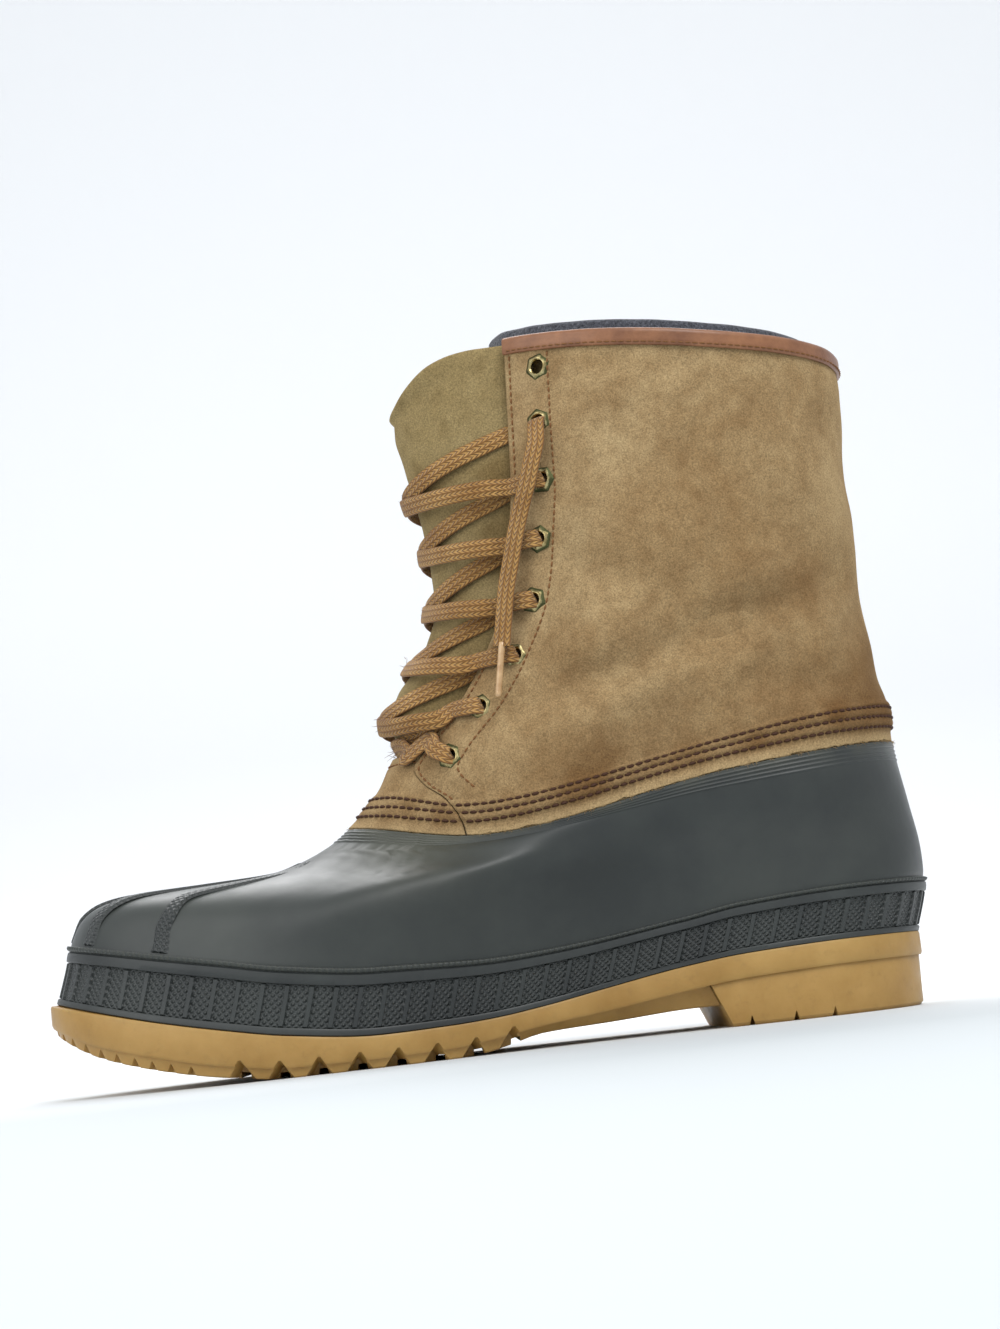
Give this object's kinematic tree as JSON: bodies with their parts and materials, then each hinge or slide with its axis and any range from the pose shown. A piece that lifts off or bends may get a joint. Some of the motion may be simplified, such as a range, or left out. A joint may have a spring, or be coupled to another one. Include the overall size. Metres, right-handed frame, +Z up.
{
  "type": "pac boot",
  "caption": "Lace-up winter pac boot for the right foot: ribbed rubber lower on a gum rubber sole, tall tan suede shaft, rolled tongue, flat lace and felt liner",
  "frame": {"origin": "on the floor, in the middle of the heel's flat rest", "axes": "+X to the toe, +Y to the inner side of the foot, +Z up"},
  "size_m": [0.3149, 0.1161, 0.2576],
  "materials": {
    "gum": "satin, slightly worn",
    "rubber": "satin",
    "suede": "napped suede",
    "tongue_suede": "flat suede",
    "binding": "smooth leather",
    "felt": "wool felt",
    "eyelet_metal": "worn, slightly green",
    "lace": "flat braid",
    "lace_tip": "glossy"
  },
  "bodies": {
    "root": {"outsole": "gum", "heel": "gum", "rubber_lower": "rubber", "foxing_band": "rubber", "shaft": "suede", "throat_piece": "suede", "tongue": "tongue_suede", "collar_binding": "binding", "liner": "felt", "insole": "felt", "eyelet_inner_1": "eyelet_metal", "eyelet_inner_2": "eyelet_metal", "eyelet_inner_3": "eyelet_metal", "eyelet_inner_4": "eyelet_metal", "eyelet_inner_5": "eyelet_metal", "eyelet_inner_6": "eyelet_metal", "eyelet_inner_7": "eyelet_metal", "eyelet_inner_8": "eyelet_metal", "eyelet_outer_1": "eyelet_metal", "eyelet_outer_2": "eyelet_metal", "eyelet_outer_3": "eyelet_metal", "eyelet_outer_4": "eyelet_metal", "eyelet_outer_5": "eyelet_metal", "eyelet_outer_6": "eyelet_metal", "eyelet_outer_7": "eyelet_metal", "eyelet_outer_8": "eyelet_metal", "lace_crossing_1": "lace", "lace_crossing_2": "lace", "lace_crossing_3": "lace", "lace_crossing_4": "lace", "lace_crossing_5": "lace", "lace_crossing_6": "lace", "lace_end_inner": "lace", "lace_tip_inner": "lace_tip", "lace_end_outer": "lace", "lace_tip_outer": "lace_tip"}
  },
  "joints": []
}
